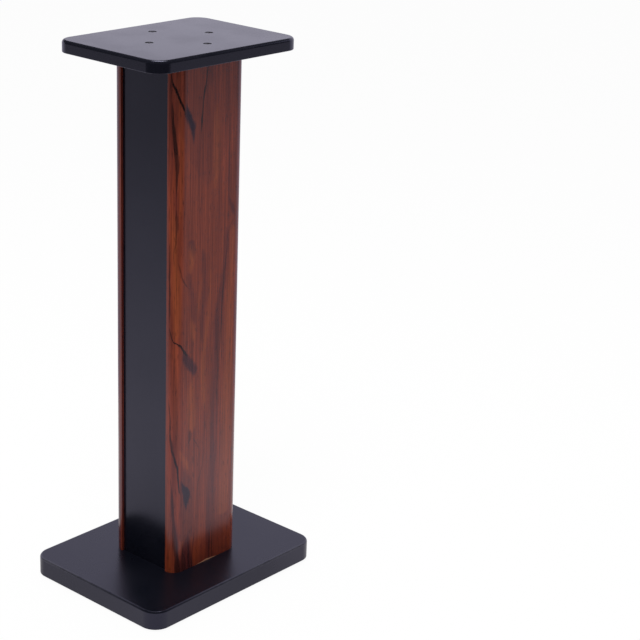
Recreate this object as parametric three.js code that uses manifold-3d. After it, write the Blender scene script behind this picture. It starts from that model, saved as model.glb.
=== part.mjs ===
// A floor stand for one bookshelf speaker, in millimetres, +Z up, front towards -Y.
//
// The stand is flat-pack joinery in MDF. A thick base plate and a thinner top plate, both with
// rounded corners and rounded upper edges, are screwed to the ends of a hollow box column.
// The column is two wood-grain side panels, whose outer vertical edges are fully rounded, with a
// black front panel and a black rear panel set back between them on dowels and glue. Each plate
// is held by four countersunk screws, one into the end of each column panel, and the stand rests
// on four rubber feet. Nothing on it moves.

import * as THREE from "three";
import { mergeVertices } from "three/addons/utils/BufferGeometryUtils.js";
import Module from "manifold-3d";

const wasm = await Module();
wasm.setup();

// ---- Driving dimensions ----------------------------------------------------------------------

const column_length = 660;

const top_width = 175; // across, along X
const top_depth = 238; // front to back, along Y
const top_thickness = 15;
const top_corner_radius = 21;
const top_upper_edge_radius = 4;

const base_width = 229;
const base_depth = 292;
const base_thickness = 25;
const base_corner_radius = 22;
const base_upper_edge_radius = 3;

const plate_lower_edge_radius = 0.8;

const column_width = 112; // over the outer faces of the two side panels
const side_panel_width = 116; // front to back
const side_panel_thickness = 16;
const side_panel_edge_flat = 1; // what stays square of each end, beside the rounded edge

const black_panel_thickness = 12;
const black_panel_setback = 3.5; // behind the ends of the side panels

const screw_shank_radius = 2.5;
const screw_head_radius = 4.8;
const screw_head_rim = 0.4;
const screw_tip_length = 5;
const screw_sink = 0.6; // how far each head lies below the plate's face
const top_screw_length = 50;
const base_screw_length = 60;
const side_screw_offset = 1.5; // inwards of a side panel's middle, away from its rounded edges
const black_screw_offset = 1; // outwards of a black panel's middle

const recess_depth = 2.4; // the cross recess in each screw head
const recess_reach = 2.5; // from its middle to the end of an arm
const recess_slot = 1;
const recess_floor_share = 0.45; // its size at the bottom, as a share of its size at the top

const dowel_radius = 3;
const dowel_length = 30;
const dowel_in_side_panel = 10;
const dowel_chamfer = 1;
const dowel_flutes = 10;
const dowel_flute_depth = 0.35;
const dowels_per_joint = 3;
const dowel_end_distance = 90; // from each end of the column to the nearest dowel

const foot_radius = 12;
const foot_thickness = 3;
const foot_edge_radius = 0.8;
const foot_inset = 32; // from each edge of the base plate to a foot's centre

const hole_clearance = 0.3; // all round a screw or a dowel
const hole_end_play = 0.8; // free depth past the end of a screw or a dowel
const over_cut = 5; // how far a cutter runs out past the face that it opens

const corner_steps = 8; // facets in a quarter turn of a plate's corner
const panel_edge_steps = 10; // facets in a quarter turn of a side panel's rounded edge
const edge_steps = 4; // facets in a small rounded edge
const turn_steps = 24; // facets in a full turn of a round piece

// ---- Heights and centre lines that follow from them ------------------------------------------

const base_z = foot_thickness;
const column_z = base_z + base_thickness;
const top_z = column_z + column_length;

const side_panel_inner_x = column_width / 2 - side_panel_thickness;
const side_screw_depth = side_panel_thickness / 2 - side_screw_offset; // from its inner face
const side_screw_x = side_panel_inner_x + side_screw_depth;

const black_panel_width = 2 * side_panel_inner_x;
const black_panel_middle_y = side_panel_width / 2 - black_panel_setback - black_panel_thickness / 2;
const black_screw_y = black_panel_middle_y + black_screw_offset;

const dowel_in_black_panel = dowel_length - dowel_in_side_panel;
const dowel_middle_x = side_panel_inner_x + dowel_in_side_panel - dowel_length / 2;

const screw_hole_radius = screw_shank_radius + hole_clearance;
const screw_cone_depth = screw_head_radius - screw_shank_radius; // a 90 degree countersink

// One screw into the end of each column panel, at both ends of the column.
const screw_places = {
  left: [-side_screw_x, 0],
  right: [side_screw_x, 0],
  front: [0, -black_screw_y],
  rear: [0, black_screw_y],
};

// The four corners, as signs along X and Y.
const corners = {
  front_left: [-1, -1],
  front_right: [1, -1],
  rear_left: [-1, 1],
  rear_right: [1, 1],
};

/** The height of each dowel above the foot of the column, evenly spaced. */
function dowelHeights() {
  const spacing = (column_length - 2 * dowel_end_distance) / (dowels_per_joint - 1);
  return Array.from({ length: dowels_per_joint }, (_, i) => dowel_end_distance + i * spacing);
}

// ---- Materials -------------------------------------------------------------------------------

const black_laminate = new THREE.MeshStandardMaterial({ color: 0x26252b, roughness: 0.42 });
const wood_grain_foil = new THREE.MeshStandardMaterial({ color: 0x6e3424, roughness: 0.28 });
const blackened_steel = new THREE.MeshStandardMaterial({
  color: 0x3a3a40,
  roughness: 0.4,
  metalness: 1,
});
const beech = new THREE.MeshStandardMaterial({ color: 0xc9a06a, roughness: 0.7 });
const rubber = new THREE.MeshStandardMaterial({ color: 0x18181a, roughness: 0.85 });

// ---- Solids ----------------------------------------------------------------------------------

/** A closed solid from a geometry, with shared vertices merged. */
function solid(geometry) {
  const bare = geometry.clone();
  bare.deleteAttribute("normal");
  bare.deleteAttribute("uv");
  const merged = mergeVertices(bare);
  return new wasm.Manifold(
    new wasm.Mesh({
      numProp: 3,
      vertProperties: merged.attributes.position.array,
      triVerts: new Uint32Array(merged.index.array),
    }),
  );
}

/** The geometry of a body with every cutter taken out of it. */
function cut(body, cutters) {
  const rest = cutters.reduce((kept, cutter) => kept.subtract(solid(cutter)), solid(body));
  const mesh = rest.getMesh();
  const geometry = new THREE.BufferGeometry();
  geometry.setAttribute("position", new THREE.BufferAttribute(mesh.vertProperties, 3));
  geometry.setIndex(new THREE.BufferAttribute(mesh.triVerts, 1));
  geometry.computeVertexNormals();
  return geometry;
}

/** The middle of a ring of points. */
function middleOf(ring) {
  const sum = ring.reduce((total, point) => total.add(point), new THREE.Vector3());
  return sum.divideScalar(ring.length);
}

/** A closed loft through rings of points, all seen anticlockwise from above and listed upwards. */
function loft(rings) {
  const count = rings[0].length;
  const points = [...rings.flat(), middleOf(rings[0]), middleOf(rings.at(-1))];
  const floor = points.length - 2;
  const roof = points.length - 1;
  const last_ring = (rings.length - 1) * count;
  const faces = [];
  for (let i = 0; i < count; i++) {
    const j = (i + 1) % count;
    for (let low = 0; low < last_ring; low += count) {
      const high = low + count;
      faces.push(low + i, low + j, high + j, low + i, high + j, high + i);
    }
    faces.push(floor, j, i, roof, last_ring + i, last_ring + j);
  }
  const geometry = new THREE.BufferGeometry().setFromPoints(points);
  geometry.setIndex(faces);
  geometry.computeVertexNormals();
  return geometry;
}

/** A solid of revolution about Z, from [radius, z] pairs listed from the lowest point up. */
function revolve(profile) {
  const points = profile.map(([radius, z]) => new THREE.Vector2(radius, z));
  return new THREE.LatheGeometry(points, turn_steps).rotateX(Math.PI / 2);
}

/** The quarter turn of a small rounded edge, as [sine, cosine] pairs from 0 to 90 degrees. */
function quarterTurn() {
  return Array.from({ length: edge_steps + 1 }, (_, step) => {
    const angle = ((Math.PI / 2) * step) / edge_steps;
    return [Math.sin(angle), Math.cos(angle)];
  });
}

// ---- Plates ----------------------------------------------------------------------------------

/** A rectangle with rounded corners, drawn in by an inset, at one height. */
function plateRing(width, depth, corner_radius, inset, z) {
  const radius = corner_radius - inset;
  const ring = [];
  for (const [turn, [side, end]] of [
    corners.rear_right,
    corners.rear_left,
    corners.front_left,
    corners.front_right,
  ].entries()) {
    const x = side * (width / 2 - corner_radius);
    const y = end * (depth / 2 - corner_radius);
    for (let step = 0; step <= corner_steps; step++) {
      const angle = (Math.PI / 2) * (turn + step / corner_steps);
      ring.push(new THREE.Vector3(x + radius * Math.cos(angle), y + radius * Math.sin(angle), z));
    }
  }
  return ring;
}

/** A board with rounded corners, its upper edge rounded over and its lower edge eased all round. */
function plate(width, depth, thickness, corner_radius, upper_edge_radius) {
  const lower = quarterTurn().map(([sine, cosine]) => [
    plate_lower_edge_radius * (1 - sine),
    plate_lower_edge_radius * (1 - cosine),
  ]);
  const upper = quarterTurn().map(([sine, cosine]) => [
    upper_edge_radius * (1 - cosine),
    thickness - upper_edge_radius * (1 - sine),
  ]);
  return loft(
    [...lower, ...upper].map(([inset, z]) => plateRing(width, depth, corner_radius, inset, z)),
  );
}

/** The space for a countersunk screw down through a plate whose upper face is at z = 0. */
function countersink(thickness) {
  const head_radius = screw_head_radius + hole_clearance;
  const rim_z = -screw_sink - screw_head_rim;
  return revolve([
    [0, -thickness - over_cut],
    [screw_hole_radius, -thickness - over_cut],
    [screw_hole_radius, rim_z - screw_cone_depth],
    [head_radius, rim_z],
    [head_radius, over_cut],
    [0, over_cut],
  ]);
}

/** The top plate, its screws let in from above. */
function topPlate() {
  const board = plate(
    top_width,
    top_depth,
    top_thickness,
    top_corner_radius,
    top_upper_edge_radius,
  );
  const holes = Object.values(screw_places).map(([x, y]) =>
    countersink(top_thickness).translate(x, y, top_thickness),
  );
  return cut(board, holes);
}

/** The base plate, its screws let in from below. */
function basePlate() {
  const board = plate(
    base_width,
    base_depth,
    base_thickness,
    base_corner_radius,
    base_upper_edge_radius,
  );
  const holes = Object.values(screw_places).map(([x, y]) =>
    countersink(base_thickness).rotateX(Math.PI).translate(x, y, 0),
  );
  return cut(board, holes);
}

// ---- Column panels ---------------------------------------------------------------------------

/** A pilot hole down from z = 0, as deep as the screw goes into its panel. */
function pilotHole(screw_length, plate_thickness) {
  const depth = screw_length - (plate_thickness - screw_sink) + hole_end_play;
  return new THREE.CylinderGeometry(
    screw_hole_radius,
    screw_hole_radius,
    depth + over_cut,
    turn_steps,
  )
    .rotateX(Math.PI / 2)
    .translate(0, 0, (over_cut - depth) / 2);
}

/** The pilot holes in both ends of a panel, at one place in its section. */
function pilotHoles(x, y) {
  return [
    pilotHole(base_screw_length, base_thickness).rotateX(Math.PI).translate(x, y, 0),
    pilotHole(top_screw_length, top_thickness).translate(x, y, column_length),
  ];
}

/** A column of dowel holes in a face at face_x, bored along X: direction is +1 or -1. */
function dowelHoles(face_x, direction, depth, y) {
  const radius = dowel_radius + hole_clearance;
  const full_depth = depth + hole_end_play;
  const middle_x = face_x + (direction * (full_depth - over_cut)) / 2;
  return dowelHeights().map((z) =>
    new THREE.CylinderGeometry(radius, radius, full_depth + over_cut, turn_steps)
      .rotateZ(Math.PI / 2)
      .translate(middle_x, y, z),
  );
}

/** The right-hand side panel's section: its inner face on the Y axis, its outer edges rounded. */
function sidePanelOutline() {
  const radius = side_panel_thickness - side_panel_edge_flat;
  const half_width = side_panel_width / 2;
  const outline = new THREE.Shape();
  outline.moveTo(0, -half_width);
  outline.lineTo(side_panel_edge_flat, -half_width);
  outline.absarc(side_panel_edge_flat, radius - half_width, radius, -Math.PI / 2, 0, false);
  outline.absarc(side_panel_edge_flat, half_width - radius, radius, 0, Math.PI / 2, false);
  outline.lineTo(0, half_width);
  outline.closePath();
  return outline;
}

/** A wood-grain side panel, its inner face at x = 0 and its outer face towards +X. */
function sidePanel() {
  const board = new THREE.ExtrudeGeometry(sidePanelOutline(), {
    depth: column_length,
    bevelEnabled: false,
    curveSegments: panel_edge_steps,
  });
  return cut(board, [
    ...pilotHoles(side_screw_depth, 0),
    ...dowelHoles(0, 1, dowel_in_side_panel, black_panel_middle_y),
    ...dowelHoles(0, 1, dowel_in_side_panel, -black_panel_middle_y),
  ]);
}

/** A black panel, standing on z = 0 about its own middle, its outer face towards -Y. */
function blackPanel() {
  const board = new THREE.BoxGeometry(black_panel_width, black_panel_thickness, column_length);
  board.translate(0, 0, column_length / 2);
  return cut(board, [
    ...pilotHoles(0, -black_screw_offset),
    ...dowelHoles(black_panel_width / 2, -1, dowel_in_black_panel, 0),
    ...dowelHoles(-black_panel_width / 2, 1, dowel_in_black_panel, 0),
  ]);
}

// ---- Fasteners -------------------------------------------------------------------------------

/** The plus-shaped outline of a cross recess, at one height and one share of its full size. */
function crossRing(share, z) {
  const reach = recess_reach * share;
  const half_slot = (recess_slot / 2) * share;
  const ring = [];
  for (let arm = 0; arm < 4; arm++) {
    const turn = (arm * Math.PI) / 2;
    ring.push(
      ...[
        new THREE.Vector3(reach, -half_slot, z),
        new THREE.Vector3(reach, half_slot, z),
        new THREE.Vector3(half_slot, half_slot, z),
      ].map((point) => point.applyAxisAngle(new THREE.Vector3(0, 0, 1), turn)),
    );
  }
  return ring;
}

/** The cutter for a cross recess, tapering down from its full size at z = 0. */
function crossRecess() {
  const share_above = 1 + (over_cut * (1 - recess_floor_share)) / recess_depth;
  return loft([crossRing(recess_floor_share, -recess_depth), crossRing(share_above, over_cut)]);
}

/** A countersunk screw pointing down, with the top of its head at z = 0. */
function screw(length) {
  const body = revolve([
    [0, -length],
    [screw_shank_radius, -length + screw_tip_length],
    [screw_shank_radius, -screw_head_rim - screw_cone_depth],
    [screw_head_radius, -screw_head_rim],
    [screw_head_radius, 0],
    [0, 0],
  ]);
  return cut(body, [crossRecess()]);
}

/** A dowel's section at one height: a crest and a groove by turns. */
function dowelRing(radius, z) {
  const count = 2 * dowel_flutes;
  return Array.from({ length: count }, (_, i) => {
    const angle = (2 * Math.PI * i) / count;
    const reach = i % 2 === 0 ? radius : radius - dowel_flute_depth;
    return new THREE.Vector3(reach * Math.cos(angle), reach * Math.sin(angle), z);
  });
}

/** A fluted dowel along X, its middle at the origin, its ends chamfered. */
function dowel() {
  const half_length = dowel_length / 2;
  const end_radius = dowel_radius - dowel_chamfer;
  return loft([
    dowelRing(end_radius, -half_length),
    dowelRing(dowel_radius, dowel_chamfer - half_length),
    dowelRing(dowel_radius, half_length - dowel_chamfer),
    dowelRing(end_radius, half_length),
  ]).rotateY(Math.PI / 2);
}

/** A round rubber foot standing on z = 0, its lower rim rounded. */
function foot() {
  const rim = quarterTurn().map(([sine, cosine]) => [
    foot_radius - foot_edge_radius * (1 - sine),
    foot_edge_radius * (1 - cosine),
  ]);
  return revolve([[0, 0], ...rim, [foot_radius, foot_thickness], [0, foot_thickness]]);
}

// ---- Assembly --------------------------------------------------------------------------------

const stand = new THREE.Group();

function add(name, geometry, material, x, y, z) {
  const piece = new THREE.Mesh(geometry, material);
  piece.name = name;
  piece.position.set(x, y, z);
  stand.add(piece);
  return piece;
}

add("base_plate", basePlate(), black_laminate, 0, 0, base_z);
add("top_plate", topPlate(), black_laminate, 0, 0, top_z);

add("right_side_panel", sidePanel(), wood_grain_foil, side_panel_inner_x, 0, column_z);
const left = add("left_side_panel", sidePanel(), wood_grain_foil, -side_panel_inner_x, 0, column_z);
left.rotation.z = Math.PI;

add("front_panel", blackPanel(), black_laminate, 0, -black_panel_middle_y, column_z);
const rear = add("rear_panel", blackPanel(), black_laminate, 0, black_panel_middle_y, column_z);
rear.rotation.z = Math.PI;

// The dowels of each corner joint are numbered from the foot of the column up.
for (const [corner, [side, end]] of Object.entries(corners)) {
  const x = side * dowel_middle_x;
  const y = end * black_panel_middle_y;
  dowelHeights().forEach((height, i) => {
    add(`${corner}_dowel_${i + 1}`, dowel(), beech, x, y, column_z + height);
  });
}

for (const [place, [x, y]] of Object.entries(screw_places)) {
  const top_head_z = top_z + top_thickness - screw_sink;
  const base_head_z = base_z + screw_sink;
  add(`top_screw_${place}`, screw(top_screw_length), blackened_steel, x, y, top_head_z);
  const upward = add(
    `base_screw_${place}`,
    screw(base_screw_length),
    blackened_steel,
    x,
    y,
    base_head_z,
  );
  upward.rotation.x = Math.PI;
}

for (const [corner, [side, end]] of Object.entries(corners)) {
  const x = side * (base_width / 2 - foot_inset);
  const y = end * (base_depth / 2 - foot_inset);
  add(`${corner}_foot`, foot(), rubber, x, y, 0);
}

export default stand;
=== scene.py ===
import math

import bmesh
import bpy
from mathutils import Matrix, Vector


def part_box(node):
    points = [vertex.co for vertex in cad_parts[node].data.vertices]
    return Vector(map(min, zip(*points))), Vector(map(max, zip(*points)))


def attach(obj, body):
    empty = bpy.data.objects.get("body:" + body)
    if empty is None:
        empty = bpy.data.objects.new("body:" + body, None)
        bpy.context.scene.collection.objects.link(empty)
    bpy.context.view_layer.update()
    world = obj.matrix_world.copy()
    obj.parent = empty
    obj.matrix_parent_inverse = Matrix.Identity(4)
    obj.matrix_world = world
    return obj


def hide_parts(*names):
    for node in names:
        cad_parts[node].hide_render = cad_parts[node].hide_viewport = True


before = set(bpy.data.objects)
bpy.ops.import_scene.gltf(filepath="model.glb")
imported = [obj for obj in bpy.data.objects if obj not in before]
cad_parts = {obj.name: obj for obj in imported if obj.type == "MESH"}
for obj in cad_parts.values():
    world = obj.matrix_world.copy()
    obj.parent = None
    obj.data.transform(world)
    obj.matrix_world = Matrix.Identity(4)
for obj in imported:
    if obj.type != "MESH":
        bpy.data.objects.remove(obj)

scene = bpy.context.scene
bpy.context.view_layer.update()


# ---- Base plate ------------------------------------------------------------------------------
# The heavy foot of the stand: a 25 mm board of MDF in black laminate, a little dulled by shoes.
# Its corners are rounded on a router, its upper edge is rounded over and its lower edge eased.
# Four countersunk holes come up from below, one under each panel of the column.

up = Vector((0.0, 0.0, 1.0))
down = -up
base_corner_radius = 0.022
base_upper_edge_radius = 0.003
lower_edge_radius = 0.0008
corner_steps = 16
edge_steps = 6

# The upper edge is painted paler, partly as wear and partly as a painted highlight line. Within this reach of
# the front right corner it stays dark, a painted shade.
base_wear_and_highlight = 0.9
painted_dark_corner_reach = 0.062

screw_hole_radius = 0.0028
countersink_radius = 0.0051
countersink_rim_depth = 0.0010
countersink_cone_depth = 0.0023
round_hole_steps = 32

side_screw_x = 0.0465
black_screw_y = 0.0495
screw_places = {
    "left": (-side_screw_x, 0.0),
    "right": (side_screw_x, 0.0),
    "front": (0.0, -black_screw_y),
    "rear": (0.0, black_screw_y),
}

# Two directions count as one above this cosine, and two places within this many metres.
same_direction = 0.999
same_place = 1e-6


def block(low, high):
    """A plain block between two opposite corners."""
    bm = bmesh.new()
    bmesh.ops.create_cube(bm, size=1.0)
    bmesh.ops.scale(bm, vec=high - low, verts=bm.verts)
    bmesh.ops.translate(bm, vec=(low + high) / 2, verts=bm.verts)
    return bm


def round_over(bm, edges, radius, steps):
    """Rounds the given edges and returns the new faces."""
    rounded = bmesh.ops.bevel(
        bm,
        geom=edges,
        offset=radius,
        offset_type="OFFSET",
        affect="EDGES",
        segments=steps,
        profile=0.5,
        material=-1,
    )
    return rounded["faces"]


def upright_edges(bm):
    return [e for e in bm.edges if abs((e.verts[0].co - e.verts[1].co).normalized().z) > same_direction]


def level_edges(bm, height):
    return [e for e in bm.edges if all(abs(v.co.z - height) < same_place for v in e.verts)]


def edges_between(verts):
    """The edges with both ends among these vertices, each once and always in the same order."""
    ends = set(verts)
    found = (e for v in verts for e in v.link_edges if e.other_vert(v) in ends)
    return list(dict.fromkeys(found))


def extruded(bm, edges):
    """Extrudes the edges in place and returns the new vertices, which are then moved."""
    grown = bmesh.ops.extrude_edge_only(bm, edges=edges)["geom"]
    return [g for g in grown if isinstance(g, bmesh.types.BMVert)]


def mark_arris(bm, faces, wear, painted_dark_corner=None):
    """Notes the wear and painted highlight of a rounded edge in the piece's own attribute. It fades out near
    a corner kept dark as painted shade.
    """
    rubbed = bm.verts.layers.float.get("arris") or bm.verts.layers.float.new("arris")
    rounded = set(faces)
    for vert in {v for face in rounded for v in face.verts}:
        if all(face in rounded for face in vert.link_faces):
            fade = 1.0
            if painted_dark_corner is not None:
                off = math.hypot(vert.co.x - painted_dark_corner.x, vert.co.y - painted_dark_corner.y)
                fade = min(max((off - painted_dark_corner_reach) / painted_dark_corner_reach, 0.0), 1.0)
            vert[rubbed] = wear * fade


def round_wall(bm, mouth, inward, steps, profile):
    """A round wall from its mouth inward, through (radius, depth) pairs. Returns its first and last rings."""
    turned = inward.to_track_quat("Z", "Y").to_matrix().to_4x4()
    circle = bmesh.ops.create_circle(
        bm,
        cap_ends=False,
        segments=steps,
        radius=profile[0][0],
        matrix=Matrix.Translation(mouth) @ turned,
    )
    first = edges_between(circle["verts"])
    ring = first
    middle = Vector(mouth)
    for (radius, depth), (next_radius, next_depth) in zip(profile, profile[1:]):
        verts = extruded(bm, ring)
        share = next_radius / radius
        bmesh.ops.scale(bm, vec=(share,) * 3, space=Matrix.Translation(-middle), verts=verts)
        bmesh.ops.translate(bm, vec=inward * (next_depth - depth), verts=verts)
        middle += inward * (next_depth - depth)
        ring = edges_between(verts)
    return first, ring


def open_face(bm, outward, rings):
    """Gives the flat face that looks outward the round openings of these rings."""
    bm.normal_update()
    facing = [f for f in bm.faces if f.normal.dot(outward) > same_direction]
    face = max(facing, key=lambda f: f.calc_area())
    border = list(face.edges)
    bmesh.ops.delete(bm, geom=[face], context="FACES_ONLY")
    mouths = [edge for ring in rings for edge in ring]
    bmesh.ops.triangle_fill(bm, use_beauty=True, edges=border + mouths, normal=outward)


def rounded_board(low, high, corner_radius, upper_edge_radius, wear, painted_dark_corner=None):
    """A board with rounded corners, a rounded upper edge and an eased lower edge."""
    bm = block(low, high)
    round_over(bm, upright_edges(bm), corner_radius, corner_steps)
    upper_edge = round_over(bm, level_edges(bm, high.z), upper_edge_radius, edge_steps)
    mark_arris(bm, upper_edge, wear, painted_dark_corner)
    lower_edge = round_over(bm, level_edges(bm, low.z), lower_edge_radius, edge_steps)
    mark_arris(bm, lower_edge, wear)
    return bm


def let_in_screws(bm, face_z, inward, thickness):
    """Bores the four countersunk holes right through a board, from the face that the heads sit in."""
    cone_foot = countersink_rim_depth + countersink_cone_depth
    profile = [
        (countersink_radius, 0.0),
        (countersink_radius, countersink_rim_depth),
        (screw_hole_radius, cone_foot),
        (screw_hole_radius, thickness),
    ]
    mouths = []
    feet = []
    for x, y in screw_places.values():
        mouth, foot = round_wall(bm, Vector((x, y, face_z)), inward, round_hole_steps, profile)
        mouths.append(mouth)
        feet.append(foot)
    open_face(bm, -inward, mouths)
    open_face(bm, inward, feet)


def make_piece(bm, name, material, replaced):
    """Turns finished mesh work into a piece that stands for a CAD node and rides on the stand."""
    sharpest_smooth_turn = math.radians(35)
    bmesh.ops.recalc_face_normals(bm, faces=bm.faces)
    mesh = bpy.data.meshes.new(name)
    bm.to_mesh(mesh)
    bm.free()
    mesh.shade_smooth()
    mesh.set_sharp_from_angle(angle=sharpest_smooth_turn)
    mesh.materials.append(material)
    piece = bpy.data.objects.new(name, mesh)
    scene.collection.objects.link(piece)
    shading = piece.modifiers.new("flat faces shade flat", "WEIGHTED_NORMAL")
    shading.keep_sharp = True
    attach(piece, "root")
    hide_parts(replaced)


def feed(tree, socket, value):
    """Links another node's output to a socket, or sets the socket to a plain value."""
    if isinstance(value, bpy.types.NodeSocket):
        tree.links.new(value, socket)
    else:
        socket.default_value = value


def add_node(tree, kind, inputs=None, **settings):
    """A shader node. An input is given as a value or as another node's output."""
    made = tree.nodes.new("ShaderNode" + kind)
    for setting, value in settings.items():
        setattr(made, setting, value)
    for socket, value in (inputs or {}).items():
        feed(tree, made.inputs[socket], value)
    return made


def math_node(tree, operation, *values):
    return add_node(tree, "Math", dict(enumerate(values)), operation=operation).outputs[0]


def spread(tree, value, low, high, to_low=0.0, to_high=1.0):
    """Maps low..high smoothly to to_low..to_high, and holds there."""
    inputs = {"Value": value, "From Min": low, "From Max": high, "To Min": to_low, "To Max": to_high}
    mapped = add_node(tree, "MapRange", inputs, interpolation_type="SMOOTHSTEP")
    return mapped.outputs["Result"]


def vary(tree, value, between):
    """Goes smoothly from the first number of a pair to the second, as the value goes from 0 to 1."""
    return spread(tree, value, 0.0, 1.0, *between)


def blend_colours(tree, share, first, second):
    """From the first colour to the second by a share that changes over the surface."""
    first_colour = 6
    second_colour = 7
    mixed_colour = 2
    inputs = {"Factor": share, first_colour: first, second_colour: second}
    return add_node(tree, "Mix", inputs, data_type="RGBA").outputs[mixed_colour]


def relief(tree, height, depth):
    """The normal of a surface where a height of 1 stands for this depth in metres."""
    return add_node(tree, "Bump", {"Height": height, "Distance": depth}).outputs["Normal"]


def new_group(name, inputs, outputs):
    """A shader node group of values over a position, with its sockets named as the inputs and outputs."""
    tree = bpy.data.node_groups.new(name, "ShaderNodeTree")
    tree.interface.new_socket("Position", in_out="INPUT", socket_type="NodeSocketVector")
    for sockets, way in ((inputs, "INPUT"), (outputs, "OUTPUT")):
        for socket in sockets:
            tree.interface.new_socket(socket, in_out=way, socket_type="NodeSocketFloat")
    return tree, tree.nodes.new("NodeGroupInput"), tree.nodes.new("NodeGroupOutput")


def place_group(tree, group, inputs):
    return add_node(tree, "Group", inputs, node_tree=group)


def new_material(name):
    """A material with its shader, ready for its own nodes."""
    material = bpy.data.materials.new(name)
    material.use_nodes = True
    tree = material.node_tree
    return material, tree, tree.nodes["Principled BSDF"]


def dress_shader(tree, shader, inputs):
    for socket, value in inputs.items():
        feed(tree, shader.inputs[socket], value)


def pressed_texture_group():
    """The fine pebble that a press plate leaves in a finish, with a slow mottle of more and less sheen."""
    tree, given, result = new_group(
        "pressed texture", ["Pebbles Per Metre", "Mottles Per Metre"], ["Height", "Mottle"]
    )
    position = given.outputs["Position"]
    pebble_inputs = {"Vector": position, "Scale": given.outputs["Pebbles Per Metre"]}
    pebble = add_node(tree, "TexVoronoi", pebble_inputs, feature="SMOOTH_F1")
    mottle_inputs = {"Vector": position, "Scale": given.outputs["Mottles Per Metre"], "Detail": 4.0}
    mottle = add_node(tree, "TexNoise", mottle_inputs)
    least_mottled = 0.3
    most_mottled = 0.7
    feed(tree, result.inputs["Height"], pebble.outputs["Distance"])
    feed(tree, result.inputs["Mottle"], spread(tree, mottle.outputs["Fac"], least_mottled, most_mottled))
    return tree


def edge_rub_and_highlight_group():
    """Where a rounded edge is paler: the piece's arris attribute, broken up by scuffs. It stands for wear,
    and on the base board mostly for a painted highlight.
    """
    tree, given, result = new_group("edge rub and highlight", ["Scuffs Per Metre"], ["Rub"])
    arris = add_node(tree, "Attribute", attribute_type="GEOMETRY", attribute_name="arris")
    scuff_inputs = {
        "Vector": given.outputs["Position"],
        "Scale": given.outputs["Scuffs Per Metre"],
        "Detail": 6.0,
    }
    scuffs = add_node(tree, "TexNoise", scuff_inputs)
    least_scuffed = 0.15
    most_scuffed = 0.60
    least_rub = 0.35
    broken = spread(tree, scuffs.outputs["Fac"], least_scuffed, most_scuffed, least_rub, 1.0)
    feed(tree, result.inputs["Rub"], math_node(tree, "MULTIPLY", arris.outputs["Fac"], broken))
    return tree


pressed_texture = pressed_texture_group()
edge_rub_and_highlight = edge_rub_and_highlight_group()

laminate_black = (0.0028, 0.0034, 0.0064, 1.0)
laminate_bloom = (0.0046, 0.0050, 0.0088, 1.0)
# The paler colour of marked edges: wear, and on the base board a painted highlight line.
laminate_rub_and_highlight = (0.052, 0.051, 0.062, 1.0)
laminate_pebble_height = 0.000012
laminate_gloss_level = 0.68
laminate_gloss_tint = (0.70, 0.69, 1.0, 1.0)
rub_polish = 0.05
trodden_roughness = (0.27, 0.32)


def black_laminate_material(name, roughness):
    """Black laminate with a faint pebble, paler and a little smoother along its marked edges: wear, and on
    the base board a painted highlight.
    """
    material, tree, shader = new_material(name)
    place = add_node(tree, "TexCoord").outputs["Object"]
    texture_inputs = {"Position": place, "Pebbles Per Metre": 1400.0, "Mottles Per Metre": 14.0}
    texture = place_group(tree, pressed_texture, texture_inputs)
    edge = place_group(tree, edge_rub_and_highlight, {"Position": place, "Scuffs Per Metre": 90.0})
    mottled = blend_colours(tree, texture.outputs["Mottle"], laminate_black, laminate_bloom)
    sheen = vary(tree, texture.outputs["Mottle"], roughness)
    polish = math_node(tree, "MULTIPLY", edge.outputs["Rub"], rub_polish)
    inputs = {
        "Base Color": blend_colours(tree, edge.outputs["Rub"], mottled, laminate_rub_and_highlight),
        "Roughness": math_node(tree, "SUBTRACT", sheen, polish),
        "Specular IOR Level": laminate_gloss_level,
        "Specular Tint": laminate_gloss_tint,
        "Normal": relief(tree, texture.outputs["Height"], laminate_pebble_height),
    }
    dress_shader(tree, shader, inputs)
    return material


trodden_laminate = black_laminate_material("trodden black laminate", trodden_roughness)

base_low, base_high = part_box("base_plate")
front_right_corner = Vector((base_high.x, base_low.y, 0.0))
# Its upper edge carries a painted highlight line, kept dark near the front right corner as painted shade.
base_work = rounded_board(
    base_low, base_high, base_corner_radius, base_upper_edge_radius, base_wear_and_highlight, front_right_corner
)
let_in_screws(base_work, base_low.z, up, base_high.z - base_low.z)
make_piece(base_work, "base_board", trodden_laminate, "base_plate")


# ---- Side panels of the column ---------------------------------------------------------------
# Two 16 mm boards, one on each side, wrapped in a glossy printed rosewood foil that runs round
# their fully rounded outer edges. Each has six blind dowel holes in its inner face and a pilot
# hole in each end for a screw.

foil_height = 0.660
half_foil = 0.067
panel_edge_flat = 0.001
panel_edge_radius = 0.015
panel_edge_steps = 20
dowel_hole_radius = 0.0033
dowel_hole_steps = 24
side_dowel_hole_depth = 0.0108
dowel_end_distance = 0.090
black_panel_middle_y = 0.0485
top_pilot_depth = 0.0364
base_pilot_depth = 0.0364


def dowel_heights(low, high):
    middle = (low + high) / 2
    return [low + dowel_end_distance, middle, high - dowel_end_distance]


def blind_hole(bm, mouth, inward, radius, depth, steps):
    """A hole with a closed end. Returns its mouth."""
    first, last = round_wall(bm, mouth, inward, steps, [(radius, 0.0), (radius, depth)])
    bmesh.ops.edgeloop_fill(bm, edges=last)
    return first


def pilot_holes(bm, x, y, low_z, high_z):
    """One hole in each end of a panel, for the screws that hold it to the plates."""
    foot = Vector((x, y, low_z))
    head = Vector((x, y, high_z))
    steps = round_hole_steps
    open_face(bm, down, [blind_hole(bm, foot, up, screw_hole_radius, base_pilot_depth, steps)])
    open_face(bm, up, [blind_hole(bm, head, down, screw_hole_radius, top_pilot_depth, steps)])


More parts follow.
